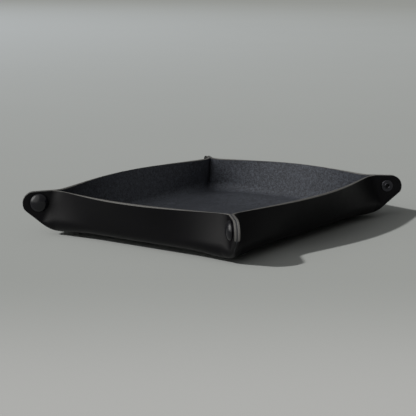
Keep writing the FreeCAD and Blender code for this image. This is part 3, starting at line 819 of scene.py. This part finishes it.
def leather_material(grain):
    """Black leather: smooth grain outside, napped flesh inside, pale fibres where it is cut. The flesh colour
    is lifted and tinted blue as painted sheen, and its lighter specks are partly painted glints.
    """
    material, nodes, shader = new_material("black leather")
    place = nodes.add("ShaderNodeTexCoord").outputs["Object"]
    inside = nodes.mask("inside", INSIDE_ENDS)
    cut = nodes.mask("cut", CUT_ENDS)
    skin = nodes.add("ShaderNodeGroup", node_tree=grain)
    nodes.put(skin.inputs["Cell Scale"], GRAIN_CELLS)
    nodes.put(skin.inputs["Patch Scale"], GRAIN_PATCHES)
    patches = skin.outputs["Patches"]
    outer_colour = nodes.blend(patches, *GRAIN_COLOURS)
    # The nap specks are real clumps in the bump, and in the colour they are partly painted glints. The bluish
    # inner colour is partly painted sheen.
    nap = nodes.noise(place, NAP_SCALE, detail=4.0, roughness=0.7)
    clumps = nodes.noise(place, CLUMP_SCALE, detail=3.0, roughness=0.6)
    fine_part = nodes.math("MULTIPLY", nap, NAP_SHARE)
    clump_part = nodes.math("MULTIPLY", clumps, CLUMP_SHARE)
    nap_speck_and_glint = nodes.ramp(nodes.math("ADD", fine_part, clump_part), *SPECK_ENDS)
    inner_colour_and_sheen = nodes.blend(nap_speck_and_glint, *NAP_AND_SHEEN_COLOURS)
    fibres = nodes.noise(place, FIBRE_SCALE, detail=3.0, roughness=0.7)
    edge_colour = nodes.blend(fibres, *CUT_COLOURS)
    face_colour = nodes.blend(inside, outer_colour, inner_colour_and_sheen)
    nodes.put(shader.inputs["Base Color"], nodes.blend(cut, face_colour, edge_colour))
    outer_spread = nodes.math("MULTIPLY", patches, GRAIN_ROUGHNESS_SPREAD)
    outer_rough = nodes.math("ADD", outer_spread, GRAIN_ROUGHNESS)
    rough_side = nodes.math("MAXIMUM", inside, cut)
    nodes.put(shader.inputs["Roughness"], nodes.between(rough_side, outer_rough, NAP_ROUGHNESS))
    shader.inputs["Specular IOR Level"].default_value = LEATHER_SHINE
    outer_relief = nodes.math("MULTIPLY", skin.outputs["Height"], GRAIN_RELIEF_SHARE)
    relief = nodes.between(inside, outer_relief, nap_speck_and_glint)
    nodes.put(shader.inputs["Normal"], nodes.bump(LEATHER_BUMP, LEATHER_BUMP_HEIGHT, relief))
    return material


def metal_material(grain, name, colours, roughness, metallic, shine):
    """Plated or painted metal with faint handling marks, whose roughness spreads evenly about its mean."""
    material, nodes, shader = new_material(name)
    skin = nodes.add("ShaderNodeGroup", node_tree=grain)
    nodes.put(skin.inputs["Cell Scale"], METAL_CELLS)
    nodes.put(skin.inputs["Patch Scale"], METAL_PATCHES)
    patches = skin.outputs["Patches"]
    nodes.put(shader.inputs["Base Color"], nodes.blend(patches, *colours))
    spread = nodes.math("MULTIPLY", patches, METAL_ROUGHNESS_SPREAD)
    rough = nodes.math("ADD", spread, roughness - METAL_ROUGHNESS_SPREAD / 2)
    nodes.put(shader.inputs["Roughness"], rough)
    shader.inputs["Metallic"].default_value = metallic
    shader.inputs["Specular IOR Level"].default_value = shine
    nodes.put(shader.inputs["Normal"], nodes.bump(METAL_BUMP, METAL_BUMP_HEIGHT, skin.outputs["Height"]))
    return material


def table_material():
    """Plain matt table: grey paper with painted light, paler in front of the tray and towards a window far to
    its left.
    """
    material, nodes, shader = new_material("studio table")
    place = nodes.add("ShaderNodeTexCoord").outputs["Object"]
    # Painted light: the colour grows paler towards the front and round the window, where more light falls.
    to_front = nodes.add("ShaderNodeVectorMath", {0: place, 1: TABLE_FRONT}, operation="DOT_PRODUCT")
    front_share = nodes.ramp(to_front.outputs["Value"], *FRONT_FADE)
    near = nodes.blend(front_share, TABLE_GREY, TABLE_FRONT_PAINTED_LIGHT)
    from_window = nodes.add("ShaderNodeVectorMath", {0: place, 1: TABLE_WINDOW}, operation="DISTANCE")
    window_share = nodes.ramp(from_window.outputs["Value"], WINDOW_FADE, 0.0)
    tone = nodes.blend(window_share, near, TABLE_WINDOW_PAINTED_LIGHT)
    mottle = nodes.math("MULTIPLY", nodes.noise(place, MOTTLE_SCALE, detail=2.0), MOTTLE_SHARE)
    nodes.put(shader.inputs["Base Color"], nodes.blend(mottle, tone, TABLE_MOTTLE))
    shader.inputs["Roughness"].default_value = 1.0
    shader.inputs["Specular IOR Level"].default_value = 0.0
    return material


# The tray

grain = grain_group()
leather = leather_material(grain)
black_metal = metal_material(grain, "black cap", CAP_COLOURS, roughness=0.18, metallic=0.0, shine=0.32)
dark_metal = metal_material(grain, "black nickel", NICKEL_COLOURS, roughness=0.26, metallic=1.0, shine=0.5)
spring_metal = metal_material(grain, "spring wire", WIRE_COLOURS, roughness=0.3, metallic=1.0, shine=0.5)

floor_piece(leather)
for wall in WALL_TURNS:
    wall_piece(wall, leather)
for name, corner in CORNERS.items():
    for wall in (corner.before, corner.after):
        ear_piece(wall, name, leather)
        if wall in CAP_WALLS:
            cap_piece(wall, name, black_metal)
        else:
            post_piece(wall, name, dark_metal)
    for kind, metal in (("socket", dark_metal), ("stud", dark_metal), ("spring", spring_metal)):
        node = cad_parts[f"{name}_snap_{kind}"]
        node.data.materials.clear()
        node.data.materials.append(metal)


# Stage, light and camera

# Directions that the light comes from.
SUN_FROM = unit(np.array([-0.756, -1.309, 1.0]))
WINDOW_FROM = unit(np.array([-0.25, -0.86, 0.42]))
FILL_FROM = unit(np.array([0.6, -0.35, 0.7]))
# Lamp: name, strength, width in degrees, source, and whether it lights the table alone or all but the table.
LAMPS = (
    ("sun_on_table", 4.1, 2.2, SUN_FROM, "INCLUDE"),
    ("sun_on_tray", 1.9, 50, SUN_FROM, "EXCLUDE"),
    ("window_on_tray", 1.4, 110, WINDOW_FROM, "EXCLUDE"),
    ("fill_on_tray", 0.35, 110, FILL_FROM, "EXCLUDE"),
)
LAMP_COLOUR = (1.0, 0.99, 0.965)
# The room's glow: an even part, and parts overhead and round the window, each narrowed by its power.
ROOM_COLOUR = (0.98, 0.985, 0.96, 1)
EVEN_GLOW = 0.07
OVERHEAD_GLOW = 0.14
OVERHEAD_POWER = 2.0
WINDOW_GLOW = 1.35
WINDOW_POWER = 4.0

# The camera, in millimetres and pixels, as fitted to the photograph.
VIEW_AZIMUTH = math.radians(35.6)
VIEW_ELEVATION = math.radians(10.85)
VIEW_DISTANCE = 915.6
VIEW_SHIFT_RIGHT = -8.3
VIEW_SHIFT_UP = -19.0
SENSOR_WIDTH = 36.0
PHOTO_SIZE = 416
FOCAL_PIXELS = 1242.0


def table_piece():
    """A wide matt table that runs out past the camera's view, under the floor's belly."""
    mesh = bpy.data.meshes.new("studio_floor")
    level = -BELLY_SAG * MM
    signs = ((-1, -1), (1, -1), (1, 1), (-1, 1))
    corners = [(x * TABLE_REACH, y * TABLE_REACH, level) for x, y in signs]
    mesh.from_pydata(corners, [], [(0, 1, 2, 3)])
    mesh.materials.append(table_material())
    table = bpy.data.objects.new("studio_floor", mesh)
    bpy.context.collection.objects.link(table)
    return table


def look(thing, right, up, back, place):
    """Puts a camera or lamp at a place with its axes."""
    matrix = np.eye(4)
    matrix[:3] = np.stack([right, up, back, place], axis=-1)
    thing.matrix_world = Matrix(matrix.tolist())


def sun_lamp(name, strength, width, source, reach, table):
    """A sun from a direction, of a width in degrees, that lights the table alone or all but the table."""
    data = bpy.data.lights.new(name, "SUN")
    data.energy = strength
    data.color = LAMP_COLOUR
    data.angle = math.radians(width)
    lamp = bpy.data.objects.new(name, data)
    bpy.context.collection.objects.link(lamp)
    across = unit(np.cross(np.array([0.0, 0.0, 1.0]), source))
    look(lamp, across, np.cross(source, across), source, source)
    group = bpy.data.collections.new(name)
    group.objects.link(table)
    group.collection_objects[0].light_linking.link_state = reach
    lamp.light_linking.receiver_collection = group


def room_light():
    """The world: an even glow, more of it overhead, and a broad bright patch round the window."""
    world = bpy.data.worlds.new("studio")
    bpy.context.scene.world = world
    world.use_nodes = True
    sky = Nodes(world.node_tree)
    direction = sky.add("ShaderNodeTexCoord").outputs["Generated"]
    height = sky.add("ShaderNodeSeparateXYZ", {"Vector": direction}).outputs["Z"]
    facing = sky.add("ShaderNodeVectorMath", {0: direction, 1: tuple(WINDOW_FROM)}, operation="DOT_PRODUCT")
    strength = EVEN_GLOW
    parts = ((height, OVERHEAD_POWER, OVERHEAD_GLOW), (facing.outputs["Value"], WINDOW_POWER, WINDOW_GLOW))
    for share, power, glow in parts:
        narrowed = sky.math("POWER", sky.math("MAXIMUM", share, 0.0), power)
        strength = sky.math("ADD", sky.math("MULTIPLY", narrowed, glow), strength)
    background = sky.add("ShaderNodeBackground", {"Color": ROOM_COLOUR, "Strength": strength})
    sky.add("ShaderNodeOutputWorld", {"Surface": background.outputs["Background"]})


def photo_camera():
    """The camera, aimed near the middle of the rim. Azimuth 0 looks along +Y."""
    right = np.array([math.cos(VIEW_AZIMUTH), math.sin(VIEW_AZIMUTH), 0.0])
    level_back = np.array([math.sin(VIEW_AZIMUTH), -math.cos(VIEW_AZIMUTH), 0.0])
    back = level_back * math.cos(VIEW_ELEVATION) + np.array([0.0, 0.0, math.sin(VIEW_ELEVATION)])
    up = np.cross(back, right)
    data = bpy.data.cameras.new("camera")
    data.sensor_width = SENSOR_WIDTH
    data.lens = FOCAL_PIXELS * SENSOR_WIDTH / PHOTO_SIZE
    camera = bpy.data.objects.new("camera", data)
    bpy.context.collection.objects.link(camera)
    aim = np.array([0.0, 0.0, RIM_HEIGHT]) + VIEW_SHIFT_RIGHT * right + VIEW_SHIFT_UP * up
    look(camera, right, up, back, (aim + VIEW_DISTANCE * back) * MM)
    bpy.context.scene.camera = camera


photo_camera()
table = table_piece()
for lamp in LAMPS:
    sun_lamp(*lamp, table)
room_light()
bpy.context.scene.view_settings.view_transform = "Standard"
